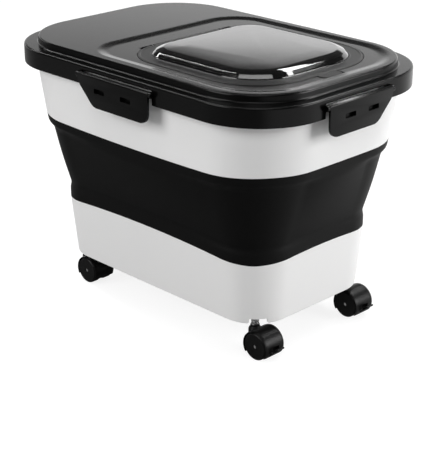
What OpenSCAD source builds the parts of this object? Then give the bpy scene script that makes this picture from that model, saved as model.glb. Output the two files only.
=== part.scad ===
// Collapsible rice bin on casters: a white base and a white rim joined by a
// folding rubber band, and a latched lid with a flip-up pouring hatch.
// Millimetres, +Z up. The origin is on the floor under the middle of the bin.
// +X is the long axis, towards the free edge of the flip hatch.

/* [Lid] */
// Length over the skirt of the lid
lid_length = 430; // [400:1:470]
// Width over the skirt of the lid
lid_width = 291.2; // [265:0.2:320]
// Corner radius of the skirt
lid_corner_r = 82; // [74:0.5:88]
// Height of the skirt
skirt_height = 21.7; // [20:0.1:28]
// Wall of the skirt and of the lid's top plate
lid_wall = 2.8; // [2.2:0.1:3.4]
// Width of the ledge between the skirt and the raised top
ledge_width = 13.2; // [11:0.1:16]
// Corner radius of the raised top
crown_corner_r = 78; // [70:0.5:80]
// Height of the raised top over the ledge
crown_height = 8.6; // [7:0.1:12]

/* [Recess round the hatch] */
// Depth of the recess in the raised top
recess_depth = 4; // [3:0.1:5]
// Distance from the recess to the edge of the raised top
recess_margin = 9.5; // [8:0.5:14]
// Distance from the middle of the lid back to the recess's straight edge
recess_back = 84; // [76:1:92]
// Corner radius of the recess by the straight edge
recess_back_r = 46; // [40:1:52]

/* [Flip hatch] */
// Distance from the middle of the lid back to the hinge axis
hinge_back = 43; // [38:1:48]
// Distance from the middle of the lid to the hatch's free edge
hatch_reach = 171; // [164:1:176]
// Width of the hatch
hatch_width = 210; // [196:1:216]
// Corner radius of the hatch at the hinge
hatch_back_r = 53; // [44:1:56]
// Corner radius of the hatch at its free edge
hatch_front_r = 70; // [60:1:74]
// Thickness of the hatch frame
hatch_thick = 2.7; // [2.4:0.1:3]
// Gap under the hatch frame
hatch_gap = 0.4; // [0.3:0.05:0.6]
// Width of the frame between its edge and the window
frame_border = 10; // [8:0.5:13]
// Width of the frame's seat under the window
window_seat = 6; // [4:0.5:8]
// Height of the window's dome
dome_height = 8.5; // [6:0.5:11]
// Wall of the window
window_wall = 2; // [1.6:0.1:2.4]
// Distance from the hatch's edge to the pouring opening
mouth_margin = 11; // [10:0.5:12]
// Width of the lifting tab
tab_width = 30; // [24:1:36]
// Reach of the lifting tab past the free edge
tab_reach = 11; // [9:0.5:12]
// Depth of the finger pocket under the tab
pocket_depth = 5.4; // [5:0.1:7]

/* [Rim] */
// Distance from the skirt's face in to the rim's wall
rim_inset = 11; // [10:0.1:13]
// Corner radius of the rim
rim_corner_r = 79; // [72:0.5:80]
// Height of the rim that shows below the lid
rim_reveal = 59.9; // [50:0.1:75]
// Draw-in of the rim's wall over that height
rim_draw_in = 5.9; // [4:0.1:8]
// Wall of the rim
rim_wall = 2.8; // [2.2:0.1:3.4]
// Dip of the rim's lower edge at the middle of its long sides
rim_side_dip = 4.6; // [2:0.1:6]
// Dip of the rim's lower edge at the middle of its ends
rim_end_dip = 1.2; // [0.6:0.1:3]

/* [Folding band] */
// Height of the band at the corners
band_height = 111.7; // [100:0.1:120]
// Wall of the band
band_wall = 2.4; // [1.6:0.1:2.6]

/* [Base] */
// Height of the base's lower edge above the floor
ground_clearance = 40.2; // [38:0.1:46]
// Height of the base at the corners
base_height = 70.2; // [64:0.1:80]
// Length of the base at its upper edge
base_top_length = 342.6; // [336:0.2:352]
// Width of the base at its upper edge
base_top_width = 211.2; // [202:0.2:214]
// Corner radius of the base at its upper edge
base_top_r = 52.6; // [50:0.1:60]
// Length of the base at its lower edge
base_foot_length = 330.6; // [320:0.2:338]
// Width of the base at its lower edge
base_foot_width = 195.4; // [188:0.2:202]
// Corner radius of the base at its lower edge
base_foot_r = 44.9; // [40:0.1:50]
// Rise of the base's upper edge at the middle of its long sides
base_side_rise = 7.7; // [5:0.1:9]
// Rise of the base's upper edge at the middle of its ends
base_end_rise = 5.8; // [4:0.1:8]
// Wall of the base
base_wall = 2.6; // [2.2:0.1:3.2]
// Height of the bin's floor above the base's lower edge
floor_lift = 12; // [10:0.1:16]
// Width of the notch in each lower corner
notch_width = 20; // [18:0.5:24]
// Height of the notch in each lower corner
notch_height = 6; // [5:0.1:8]

/* [Latches] */
// Width of the latches on the long sides
side_latch_width = 114; // [100:1:124]
// Width of the latches on the short ends
end_latch_width = 101; // [90:1:110]
// Distance between the slots of a side latch
side_slot_pitch = 43; // [38:0.5:50]
// Distance between the slots of an end latch
end_slot_pitch = 37; // [32:0.5:42]
// Distance from the skirt's face out to the latch's face
latch_stand_off = 6.6; // [6:0.1:8]
// Length of the latch below the skirt
latch_drop = 20; // [17:0.5:24]
// Depth of the latch's upper edge below the top of the skirt
latch_step = 5.9; // [5:0.1:8]
// Thickness of the latch plate
latch_thick = 3; // [2.6:0.1:3.4]
// Corner radius of the latch's lower corners
latch_corner_r = 21; // [14:0.5:22]
// Width of a slot in a latch
slot_width = 16; // [12:0.5:18]
// Height of a slot in a latch
slot_height = 4.6; // [4.2:0.1:6]
// Diameter of the latch pin
latch_pin_d = 3; // [2.6:0.1:3.4]

/* [Casters] */
// Distance from the base's lower edge in to the caster's stem
caster_inset = 21.2; // [20:0.1:24]
// Diameter of the caster wheels
wheel_d = 32; // [29:0.5:34]
// Width over the two wheels of a caster
twin_width = 29; // [26:0.5:32]
// Distance from the stem's axis to the axle
trail = 13; // [11:0.5:14]
// Thickness of the web between the wheels
web_thick = 4; // [3.4:0.1:5]
// Diameter of the axle
axle_d = 4; // [3.4:0.1:5]
// Diameter of the stem
stem_d = 9; // [8:0.1:10]
// Length of the stem inside its socket
stem_grip = 24; // [20:0.5:28]
// Width of the brake pedal
pedal_width = 11; // [9:0.5:13]
// Reach of the brake pedal from its pin
pedal_reach = 10.5; // [8:0.5:12]

/* [Fits] */
// Gap between pieces that move past each other
gap = 0.4; // [0.3:0.05:0.6]
// Radial clearance of a turning pin in its bore
pin_clearance = 0.08; // [0.05:0.01:0.1]

/* [Hidden] */
$fn = 96;
corner_facets = 64;
arc_facets = 1440;
dome_facets = 40;
thin = 0.2;
through = 1;

base_foot_z = ground_clearance;
base_top_z = base_foot_z + base_height;
rim_foot_z = base_top_z + band_height;
skirt_z = rim_foot_z + rim_reveal;
ledge_z = skirt_z + skirt_height;
crown_z = ledge_z + crown_height;
floor_z = base_foot_z + floor_lift;

// The outlines are [half length, half width, corner radius].
lid_outline = [lid_length / 2, lid_width / 2, lid_corner_r];
crown_outline = [lid_outline[0] - ledge_width, lid_outline[1] - ledge_width, crown_corner_r];
rim_shoulder = [lid_outline[0] - rim_inset, lid_outline[1] - rim_inset, rim_corner_r];
rim_foot = [rim_shoulder[0] - rim_draw_in, rim_shoulder[1] - rim_draw_in, rim_corner_r];
base_top = [base_top_length / 2, base_top_width / 2, base_top_r];
base_foot = [base_foot_length / 2, base_foot_width / 2, base_foot_r];

base_peak = max(base_side_rise, base_end_rise);
rim_dip = max(rim_side_dip, rim_end_dip);

// Height of the seal between the rim's edge and the ledge
seal_height = 2.6;
seal_overhang = 2;
rim_top_z = ledge_z - lid_wall - seal_height - gap;
// The rim's flange stands out under the skirt, where the lid covers it.
flange_lift = 3;
flange_z = skirt_z + flange_lift;
flange_thick = 2.4;
flange_lip = 1.8;
flange_reach = 5.5;

recess_z = crown_z - recess_depth;
recess_front = crown_outline[0] - recess_margin;
recess_half_width = crown_outline[1] - recess_margin;
recess_front_r = crown_corner_r - recess_margin;

hatch_z = recess_z + hatch_gap;
hatch_top_z = hatch_z + hatch_thick;
knuckle_r = 2.7;
hinge_sink = 1.9;
hinge_z = hatch_top_z - hinge_sink;
hinge_pin_d = 2.4;
hinge_half = hatch_width / 2 - hatch_back_r;
hinge_ear = 4;
// Each hinge pin reaches this far into the hatch's knuckle.
hinge_pin_grip = 14;
hatch_seal_width = 3.4;
tab_thick = 1.8;
// The dome climbs within this distance of its edge and is nearly flat inside it.
dome_shoulder = 0.7 * (hatch_back_r - frame_border);
dome_crowning = 3.5;
dome_steps = 5;

pocket_wall = 2.2;
tab_side_gap = 2.5;
pocket_half_width = tab_width / 2 + tab_side_gap;

latch_top_z = ledge_z - latch_step;
latch_foot_z = skirt_z - latch_drop;
latch_barrel_wall = 0.6;
barrel_r = latch_thick / 2 + latch_pin_d / 2 + latch_barrel_wall;
pin_z = latch_top_z - barrel_r;
// Distance from the skirt's face out to the latch pin's axis
pin_out = latch_stand_off - barrel_r;
ear_thick = 3.2;
slot_sink = 1;
slot_z = skirt_z - slot_sink;
// A catch closes the back of each slot and reaches below it and above it.
catch_below = 4;
catch_above = 1;
catch_width = slot_width + 3;
// The lugs grow out of the rim's wall and end flush with the skirt's face.
lug_depth = rim_inset + rim_wall / 2;
lug_drop = 3;

wheel_r = wheel_d / 2;
tread_gap = 0.8;
hood_wall = 1.2;
hood_r = wheel_r + tread_gap + hood_wall;
wheel_width = (twin_width - web_thick) / 2 - gap;
// The neck of the hood carries the stem above the wheels.
neck_wall = 0.8;
neck_r = stem_d / 2 + neck_wall;
neck_rise = 0.9;
neck_z = wheel_r + hood_r + neck_rise;
neck_grip = 5;
hood_edge_z = wheel_r / 2;
stem_foot_z = neck_z - neck_grip;
stem_foot_d = 6;
socket_wall = 2.2;
socket_r = stem_d / 2 + socket_wall;
socket_flange_reach = 2;
socket_flange_r = socket_r + socket_flange_reach;
socket_flange = 1.5;
socket_z = floor_z - base_wall - socket_flange;
boss_wall = 3;
boss_r = socket_r + boss_wall;
boss_roof = 2.5;
caster_x = base_foot[0] - caster_inset;
caster_y = base_foot[1] - caster_inset;
caster_trim = 0.7;
pedal_pin_d = 1.6;
pedal_barrel_r = 1.7;
pedal_thick = 2.2;
pedal_rise = 38;
pedal_ear = 1.8;
// The hood reaches lower where it carries a pedal.
pedal_bracket_drop = 2;
slot_under_pedal = 3;
slot_over_pedal = 4;
// The pedal's pin lies behind the hood, a little below the axle.
pedal_drop = 4;
pedal_pin_x = trail + sqrt(pow(wheel_r + tread_gap + pedal_barrel_r + gap, 2) - pow(pedal_drop, 2));
pedal_pin_z = wheel_r - pedal_drop;
// The cam stands off the treads until the pedal is pressed by its stroke.
pedal_stroke = 20;
cam_thick = 1.2;
cam_play = 0.2;
cam_lead = 5;
cam_reach = tread_gap + pedal_barrel_r + gap - cam_play;
cam_angle = 180 - asin(pedal_drop / (wheel_r + tread_gap + pedal_barrel_r + gap)) + pedal_stroke + cam_lead;

// ---- Outlines ----

function mix(a, b, t) = a + (b - a) * t;
function inset(outline, d) = [outline[0] - d, outline[1] - d, outline[2] - d];
function between(low, high, z_low, z_high, z) =
    mix(low, high, (z - z_low) / (z_high - z_low));
function rim_at(z) = between(rim_foot, rim_shoulder, rim_foot_z, skirt_z, z);
function base_at(z) = between(base_foot, base_top, base_foot_z, base_top_z, z);
function band_at(z) = between(base_top, rim_foot, base_top_z, rim_foot_z, z);

module rounded(outline) {
    x = outline[0];
    y = outline[1];
    r = outline[2];
    square([2 * x, 2 * (y - r)], center = true);
    square([2 * (x - r), 2 * y], center = true);
    for (side_x = [-1, 1], side_y = [-1, 1])
        translate([side_x * (x - r), side_y * (y - r)]) circle(r);
}

module plate(outline, z, height) {
    translate([0, 0, z]) linear_extrude(height) rounded(outline);
}

module ring(outline, wall, z, height) {
    translate([0, 0, z]) linear_extrude(height) difference() {
        rounded(outline);
        rounded(inset(outline, wall));
    }
}

// A tapered block between two outlines.
module taper(low, z_low, high, z_high) {
    hull() {
        plate(low, z_low, thin, $fn = corner_facets);
        plate(high, z_high - thin, thin, $fn = corner_facets);
    }
}

// An outline with one radius at its back edge and another at its front edge.
module two_radius(back, front, half_width, back_r, front_r) {
    translate([-back + back_r, -half_width]) square([back + front - back_r - front_r, 2 * half_width]);
    translate([-back, -half_width + back_r]) square([2 * back_r, 2 * (half_width - back_r)]);
    translate([front - 2 * front_r, -half_width + front_r])
        square([2 * front_r, 2 * (half_width - front_r)]);
    for (side = [-1, 1]) {
        translate([-back + back_r, side * (half_width - back_r)]) circle(back_r);
        translate([front - front_r, side * (half_width - front_r)]) circle(front_r);
    }
}

module hatch_outline(d) {
    two_radius(hinge_back - d, hatch_reach - d, hatch_width / 2 - d, hatch_back_r - d, hatch_front_r - d);
}

module hatch_plate(d, z, height) {
    translate([0, 0, z]) linear_extrude(height) hatch_outline(d);
}

module recess_plate(d, z, height) {
    translate([0, 0, z]) linear_extrude(height)
        two_radius(recess_back - d, recess_front - d, recess_half_width - d,
            recess_back_r - d, recess_front_r - d);
}

// Everything below an edge that rises towards the middle of the sides and of the ends.
module below_arch(outline, z, side_rise, end_rise) {
    reach = outline[0] + 2 * through;
    depth = 3 * band_height;
    side_r = (pow(outline[0], 2) + pow(side_rise, 2)) / (2 * side_rise);
    end_r = (pow(outline[1], 2) + pow(end_rise, 2)) / (2 * end_rise);
    translate([-reach, -reach, z - depth]) cube([2 * reach, 2 * reach, depth]);
    translate([0, reach, z + side_rise - side_r]) rotate([90, 0, 0])
        cylinder(h = 2 * reach, r = side_r, $fn = arc_facets);
    translate([-reach, 0, z + end_rise - end_r]) rotate([0, 90, 0])
        cylinder(h = 2 * reach, r = end_r, $fn = arc_facets);
}

// Everything above an edge that dips towards the middle of the sides and of the ends.
module above_arch(outline, z, side_dip, end_dip) {
    mirror([0, 0, 1]) below_arch(outline, -z, side_dip, end_dip);
}

// ---- Places of the pieces that repeat ----

// The latches are drawn at the origin: +X out of the skirt, +Y along it.
module on_front() { translate([0, -lid_outline[1], 0]) rotate([0, 0, -90]) children(); }
module on_back() { translate([0, lid_outline[1], 0]) rotate([0, 0, 90]) children(); }
module on_right() { translate([lid_outline[0], 0, 0]) children(); }
module on_left() { translate([-lid_outline[0], 0, 0]) rotate([0, 0, 180]) children(); }

module on_sides() {
    on_front() children();
    on_back() children();
}

module on_ends() {
    on_right() children();
    on_left() children();
}

// The casters all trail towards +X.
module at_caster(end, side) { translate([end * caster_x, side * caster_y, 0]) children(); }

module at_casters() {
    for (end = [-1, 1], side = [-1, 1]) at_caster(end, side) children();
}

// ---- Base and band ----

module base_shell() color("whitesmoke") difference() {
    union() {
        intersection() {
            difference() {
                taper(base_foot, base_foot_z, base_at(base_top_z + base_peak), base_top_z + base_peak);
                taper(inset(base_at(floor_z), base_wall), floor_z,
                    inset(base_at(base_top_z + 2 * base_peak), base_wall), base_top_z + 2 * base_peak);
                taper(inset(base_at(base_foot_z - through), base_wall), base_foot_z - through,
                    inset(base_at(floor_z - base_wall), base_wall), floor_z - base_wall);
            }
            below_arch(base_top, base_top_z, base_side_rise, base_end_rise);
        }
        at_casters() translate([0, 0, socket_z + socket_flange])
            cylinder(h = stem_grip + boss_roof, r = boss_r);
    }
    at_casters() translate([0, 0, socket_z]) cylinder(h = stem_grip + socket_flange, r = socket_r);
    for (end = [-1, 1], side = [-1, 1])
        translate([end * caster_x, side * caster_y, base_foot_z - through])
            rotate([0, 0, atan2(side, end)]) translate([0, -notch_width / 2, 0])
                cube([caster_inset, notch_width, notch_height + through]);
}

// The band's wall leans out from the base's edge to the rim's edge.
module fold_band() color("#1c1c1c") difference() {
    taper(base_top, base_top_z - thin, rim_foot, rim_foot_z);
    taper(inset(base_at(base_top_z), band_wall), base_top_z - through,
        inset(band_at(rim_foot_z + through), band_wall), rim_foot_z + through);
    below_arch(base_top, base_top_z, base_side_rise, base_end_rise);
    above_arch(rim_foot, rim_foot_z - gap, rim_side_dip, rim_end_dip);
}

// ---- Rim ----

// The lug behind a latch is as wide as the latch's two catches.
module rim_lug(pitch) {
    translate([-lug_depth, -(pitch + catch_width) / 2, skirt_z - lug_drop])
        cube([lug_depth, pitch + catch_width, lug_drop + flange_lift + flange_thick / 2]);
}

module rim_frame() color("whitesmoke") difference() {
    flange = inset(rim_at(flange_z), -flange_reach);
    union() {
        intersection() {
            taper(rim_at(rim_foot_z - rim_dip), rim_foot_z - rim_dip, rim_at(rim_top_z), rim_top_z);
            above_arch(rim_foot, rim_foot_z, rim_side_dip, rim_end_dip);
        }
        plate(flange, flange_z, flange_thick);
        ring(flange, flange_lip, skirt_z + gap, flange_lift);
        on_sides() rim_lug(side_slot_pitch);
        on_ends() rim_lug(end_slot_pitch);
    }
    taper(inset(rim_at(rim_foot_z - 2 * rim_dip), rim_wall), rim_foot_z - 2 * rim_dip,
        inset(rim_at(rim_top_z + through), rim_wall), rim_top_z + through);
}

// ---- Lid ----

// The gap in the skirt behind a latch, with room for its barrel.
module latch_bay(width) {
    translate([-lid_wall - through, -width / 2 - gap, skirt_z - through])
        cube([lid_wall + 2 * through, width + 2 * gap, pin_z + barrel_r + gap - skirt_z + through]);
}

// The two ears that hold a latch's pin.
module latch_ears(width) {
    for (side = [-1, 1])
        translate([0, side * (width / 2 + gap + ear_thick / 2), pin_z]) rotate([90, 0, 0])
            linear_extrude(ear_thick, center = true) difference() {
                union() {
                    translate([pin_out, 0]) circle(barrel_r - gap);
                    translate([-lid_wall, -barrel_r]) square([lid_wall + pin_out, 2 * barrel_r - gap]);
                }
                translate([pin_out, 0]) circle(d = latch_pin_d);
            }
}

// The trough and ears of the hatch's hinge lie in the recess's floor.
module hinge_pad() {
    translate([-hinge_back - knuckle_r - gap - lid_wall, -hinge_half - hinge_ear - gap, recess_z - 2 * lid_wall])
        cube([2 * (knuckle_r + gap + lid_wall), 2 * (hinge_half + hinge_ear + gap), 2 * lid_wall]);
}

module hinge_ears() {
    for (side = [-1, 1]) translate([-hinge_back, side * (hinge_half + gap + hinge_ear / 2), 0]) {
        translate([0, 0, hinge_z]) rotate([90, 0, 0]) cylinder(h = hinge_ear, r = knuckle_r, center = true);
        translate([-knuckle_r, -hinge_ear / 2, recess_z - through])
            cube([2 * knuckle_r, hinge_ear, hinge_z - recess_z + through]);
    }
}

module hinge_trough() {
    translate([-hinge_back, 0, hinge_z]) rotate([90, 0, 0])
        cylinder(h = 2 * (hinge_half + gap), r = knuckle_r + gap, center = true);
}

module pocket_block(d, depth) {
    translate([hatch_reach - d, -pocket_half_width - d, recess_z - depth])
        cube([tab_reach + gap + 2 * d, 2 * (pocket_half_width + d), depth + (d > 0 ? 0 : through)]);
}

module lid_panel() color("#262626") difference() {
    union() {
        difference() {
            union() {
                plate(lid_outline, skirt_z, skirt_height);
                plate(crown_outline, ledge_z, crown_height);
            }
            recess_plate(0, recess_z, recess_depth + through);
            plate(inset(lid_outline, lid_wall), skirt_z - through, skirt_height - lid_wall + through);
            difference() {
                plate(inset(crown_outline, lid_wall), ledge_z - 2 * lid_wall, crown_height + lid_wall);
                recess_plate(-lid_wall, recess_z - lid_wall, recess_depth + lid_wall + through);
            }
            on_sides() latch_bay(side_latch_width);
            on_ends() latch_bay(end_latch_width);
        }
        on_sides() latch_ears(side_latch_width);
        on_ends() latch_ears(end_latch_width);
        hinge_pad();
        hinge_ears();
        pocket_block(pocket_wall, pocket_depth + pocket_wall);
    }
    hinge_trough();
    translate([-hinge_back, 0, hinge_z]) rotate([90, 0, 0])
        cylinder(h = 2 * (hinge_half + gap + hinge_ear + through), d = hinge_pin_d, center = true);
    pocket_block(0, pocket_depth);
    hatch_plate(mouth_margin, recess_z - 3 * lid_wall, 3 * lid_wall + through);
}

// The seal hangs from the ledge and closes on the rim's upper edge.
module lid_seal() color("gray") {
    ring(inset(rim_at(rim_top_z), -seal_overhang), rim_wall + 2 * seal_overhang,
        ledge_z - lid_wall - seal_height, seal_height);
}

// ---- Flip hatch ----

module hatch_frame() color("#303030") difference() {
    union() {
        hatch_plate(0, hatch_z, hatch_thick);
        translate([hatch_reach - tab_reach, -tab_width / 2, hatch_top_z - tab_thick])
            cube([2 * tab_reach, tab_width, tab_thick]);
        translate([-hinge_back, 0, hinge_z]) rotate([90, 0, 0])
            cylinder(h = 2 * hinge_half, r = knuckle_r, center = true);
    }
    hatch_plate(frame_border + window_seat, hatch_z - through, hatch_thick + 2 * through);
    translate([-hinge_back, 0, hinge_z]) rotate([90, 0, 0])
        cylinder(h = 2 * (hinge_half + through), r = hinge_pin_d / 2 + pin_clearance, center = true);
    // the notches that clear the lid's ears
    for (side = [-1, 1])
        translate([-hinge_back, side * (hinge_half + gap + hinge_ear / 2), hatch_z + hatch_thick / 2])
            cube([2 * (knuckle_r + gap), hinge_ear + 2 * gap, hatch_thick + 2 * through], center = true);
}

function dome_share(inward) = 1 - pow(1 - inward / dome_shoulder, dome_crowning);

module dome(d, height) {
    hull() for (step = [0:dome_steps]) {
        inward = dome_shoulder * pow(step / dome_steps, 2);
        hatch_plate(frame_border + d + inward, hatch_top_z + (height - thin) * dome_share(inward), thin,
            $fn = dome_facets);
    }
}

module hatch_window() color("#9a9a9a") difference() {
    dome(0, dome_height);
    translate([0, 0, -thin]) dome(window_wall, dome_height - window_wall);
}

// The seal hangs from the frame into the pouring opening.
module hatch_seal() color("dimgray") {
    depth = hatch_gap + lid_wall;
    translate([0, 0, hatch_z - depth]) linear_extrude(depth) difference() {
        hatch_outline(mouth_margin + gap);
        hatch_outline(mouth_margin + gap + hatch_seal_width);
    }
}

module hatch_pin(side) {
    length = hinge_pin_grip + gap + hinge_ear;
    color("silver") translate([-hinge_back, side * (hinge_half - hinge_pin_grip + length / 2), hinge_z])
        rotate([90, 0, 0]) cylinder(h = length, d = hinge_pin_d, center = true);
}

// ---- Latches ----

module latch(width, pitch) color("#262626") difference() {
    plate_in = latch_stand_off - latch_thick;
    union() {
        translate([plate_in, 0, 0]) rotate([90, 0, 90]) linear_extrude(latch_thick) difference() {
            intersection() {
                translate([-width / 2, latch_foot_z]) square([width, pin_z - latch_foot_z]);
                translate([0, pin_z]) rounded([width / 2, pin_z - latch_foot_z, latch_corner_r]);
            }
            for (side = [-1, 1]) translate([side * pitch / 2, slot_z])
                square([slot_width, slot_height], center = true);
        }
        translate([pin_out, 0, pin_z]) rotate([90, 0, 0]) cylinder(h = width, r = barrel_r, center = true);
        for (side = [-1, 1])
            translate([gap, side * pitch / 2 - catch_width / 2, slot_z - slot_height / 2 - catch_below])
                cube([plate_in, catch_width, catch_below + slot_height + catch_above]);
    }
    translate([pin_out, 0, pin_z]) rotate([90, 0, 0])
        cylinder(h = width + 2 * through, r = latch_pin_d / 2 + pin_clearance, center = true);
}

module latch_pin(width) {
    color("silver") translate([pin_out, 0, pin_z]) rotate([90, 0, 0])
        cylinder(h = width + 2 * (gap + ear_thick), d = latch_pin_d, center = true);
}

// ---- Casters, drawn with the stem's axis on Z ----

module caster_socket() color("dimgray") difference() {
    union() {
        translate([0, 0, socket_z]) cylinder(h = socket_flange, r = socket_flange_r);
        translate([0, 0, socket_z]) cylinder(h = stem_grip + socket_flange, r = socket_r);
    }
    translate([0, 0, socket_z - through])
        cylinder(h = stem_grip + socket_flange + 2 * through, r = stem_d / 2 + pin_clearance);
}

module along_axle(radius, width) {
    translate([trail, 0, wheel_r]) rotate([90, 0, 0]) cylinder(h = width, r = radius, center = true);
}

module at_pedal() { translate([pedal_pin_x, 0, pedal_pin_z]) rotate([90, 0, 0]) children(); }

module hood(braked) color("#1e1e1e") difference() {
    union() {
        along_axle(hood_r, twin_width);
        translate([0, 0, hood_edge_z]) cylinder(h = neck_z - hood_edge_z, r = neck_r);
        if (braked) at_pedal()
            cylinder(h = pedal_width + 2 * (gap + pedal_ear), r = pedal_barrel_r, center = true);
    }
    // the two wheel wells, on each side of the web
    for (side = [-1, 1]) translate([0, side * (twin_width / 2 + web_thick / 2), 0])
        along_axle(wheel_r + tread_gap, twin_width);
    // the open lower half
    translate([-hood_r, -twin_width, -hood_r])
        cube([4 * hood_r, 2 * twin_width, hood_r + hood_edge_z - (braked ? pedal_bracket_drop : 0)]);
    translate([0, 0, stem_foot_z]) cylinder(h = neck_z, d = stem_foot_d);
    along_axle(axle_d / 2, twin_width);
    if (braked) {
        translate([pedal_pin_x - 3 * pedal_barrel_r, -pedal_width / 2 - gap,
            pedal_pin_z - pedal_barrel_r - slot_under_pedal])
            cube([6 * pedal_barrel_r, pedal_width + 2 * gap,
                slot_under_pedal + 2 * pedal_barrel_r + slot_over_pedal]);
        at_pedal() cylinder(h = twin_width, d = pedal_pin_d, center = true);
    }
}

module stem() color("silver") {
    translate([0, 0, stem_foot_z]) cylinder(h = neck_z - stem_foot_z, d = stem_foot_d);
    translate([0, 0, neck_z]) cylinder(h = socket_z + stem_grip - neck_z, d = stem_d);
}

module axle() color("silver") along_axle(axle_d / 2, twin_width - 2 * caster_trim);

module wheel(side) color("#1e1e1e") {
    translate([trail, side * (web_thick / 2 + gap + wheel_width / 2), wheel_r]) rotate([90, 0, 0])
        difference() {
            cylinder(h = wheel_width, r = wheel_r, center = true);
            cylinder(h = wheel_width + 2 * through, r = axle_d / 2 + pin_clearance, center = true);
        }
}

module pedal() color("#303030") at_pedal() difference() {
    union() {
        cylinder(h = pedal_width, r = pedal_barrel_r, center = true);
        rotate([0, 0, pedal_rise]) translate([0, -pedal_thick / 2, gap - pedal_width / 2])
            cube([pedal_reach, pedal_thick, pedal_width - 2 * gap]);
        // the cam that turns onto the treads
        rotate([0, 0, cam_angle]) translate([0, -cam_thick / 2, gap - pedal_width / 2])
            cube([cam_reach, cam_thick, pedal_width - 2 * gap]);
    }
    cylinder(h = pedal_width + 2 * through, r = pedal_pin_d / 2 + pin_clearance, center = true);
}

module pedal_pin() color("silver") at_pedal()
    cylinder(h = pedal_width + 2 * (gap + pedal_ear), d = pedal_pin_d, center = true);

base_shell();
fold_band();
rim_frame();
lid_panel();
lid_seal();
hatch_frame();
hatch_window();
hatch_seal();
hatch_pin(-1);  // hatch_pin_front
hatch_pin(1);  // hatch_pin_back
on_front() latch(side_latch_width, side_slot_pitch);  // latch_front
on_back() latch(side_latch_width, side_slot_pitch);  // latch_back
on_right() latch(end_latch_width, end_slot_pitch);  // latch_right
on_left() latch(end_latch_width, end_slot_pitch);  // latch_left
on_front() latch_pin(side_latch_width);  // latch_pin_front
on_back() latch_pin(side_latch_width);  // latch_pin_back
on_right() latch_pin(end_latch_width);  // latch_pin_right
on_left() latch_pin(end_latch_width);  // latch_pin_left
at_caster(1, -1) caster_socket();  // socket_right_front
at_caster(1, 1) caster_socket();  // socket_right_back
at_caster(-1, -1) caster_socket();  // socket_left_front
at_caster(-1, 1) caster_socket();  // socket_left_back
at_caster(1, -1) hood(true);  // hood_right_front
at_caster(1, 1) hood(true);  // hood_right_back
at_caster(-1, -1) hood(false);  // hood_left_front
at_caster(-1, 1) hood(false);  // hood_left_back
at_caster(1, -1) stem();  // stem_right_front
at_caster(1, 1) stem();  // stem_right_back
at_caster(-1, -1) stem();  // stem_left_front
at_caster(-1, 1) stem();  // stem_left_back
at_caster(1, -1) axle();  // axle_right_front
at_caster(1, 1) axle();  // axle_right_back
at_caster(-1, -1) axle();  // axle_left_front
at_caster(-1, 1) axle();  // axle_left_back
at_caster(1, -1) wheel(-1);  // wheel_right_front_a
at_caster(1, -1) wheel(1);  // wheel_right_front_b
at_caster(1, 1) wheel(-1);  // wheel_right_back_a
at_caster(1, 1) wheel(1);  // wheel_right_back_b
at_caster(-1, -1) wheel(-1);  // wheel_left_front_a
at_caster(-1, -1) wheel(1);  // wheel_left_front_b
at_caster(-1, 1) wheel(-1);  // wheel_left_back_a
at_caster(-1, 1) wheel(1);  // wheel_left_back_b
at_caster(1, -1) pedal();  // pedal_right_front
at_caster(1, 1) pedal();  // pedal_right_back
at_caster(1, -1) pedal_pin();  // pedal_pin_right_front
at_caster(1, 1) pedal_pin();  // pedal_pin_right_back
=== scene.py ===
"""Looks of a collapsible rice bin: white shells, folding band, latched lid, flip hatch and casters."""
import math
from collections import namedtuple

import bmesh
import bpy
import numpy as np
from mathutils import Matrix, Vector


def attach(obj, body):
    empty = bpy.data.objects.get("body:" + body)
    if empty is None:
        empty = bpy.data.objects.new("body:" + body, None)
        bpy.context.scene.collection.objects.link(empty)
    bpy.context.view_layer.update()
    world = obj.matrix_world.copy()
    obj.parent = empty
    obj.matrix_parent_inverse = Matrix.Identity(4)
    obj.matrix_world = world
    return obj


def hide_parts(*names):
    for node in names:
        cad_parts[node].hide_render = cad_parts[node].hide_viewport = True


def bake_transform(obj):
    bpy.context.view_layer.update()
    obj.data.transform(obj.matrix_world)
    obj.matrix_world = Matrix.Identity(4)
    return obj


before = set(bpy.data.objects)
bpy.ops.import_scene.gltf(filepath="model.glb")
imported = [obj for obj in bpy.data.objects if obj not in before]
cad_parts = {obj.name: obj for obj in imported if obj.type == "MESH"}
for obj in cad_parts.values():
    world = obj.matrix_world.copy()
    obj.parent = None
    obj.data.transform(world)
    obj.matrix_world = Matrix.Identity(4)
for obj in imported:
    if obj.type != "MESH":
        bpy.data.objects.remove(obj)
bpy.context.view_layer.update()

# ---- Sizes in millimetres, from the floor under the bin's middle, +X towards the hatch's free edge ----

MM = 0.001
BASE_FOOT_Z = 40.2
FLOOR_Z = 52.2
BASE_TOP_Z = 110.4
RIM_FOOT_Z = 222.1
SKIRT_Z = 282.0
LEDGE_Z = 303.7
CROWN_Z = 312.3
RECESS_Z = 308.3
HATCH_Z = 308.7
HATCH_TOP_Z = 311.4
HINGE_Z = 309.5
RIM_TOP_Z = 297.9
FLANGE_Z = 285.0

BASE_WALL = 2.6
BAND_WALL = 2.4
RIM_WALL = 2.8
LID_WALL = 2.8
GAP = 0.4

Outline = namedtuple("Outline", "back front side back_r front_r")
Arch = namedtuple("Arch", "side end")
FLAT = Arch(0.0, 0.0)
BASE_ARCH = Arch(7.7, 5.8)
RIM_ARCH = Arch(-4.6, -1.2)


def even(half_length, half_width, corner_r):
    return Outline(half_length, half_length, half_width, corner_r, corner_r)


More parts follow.
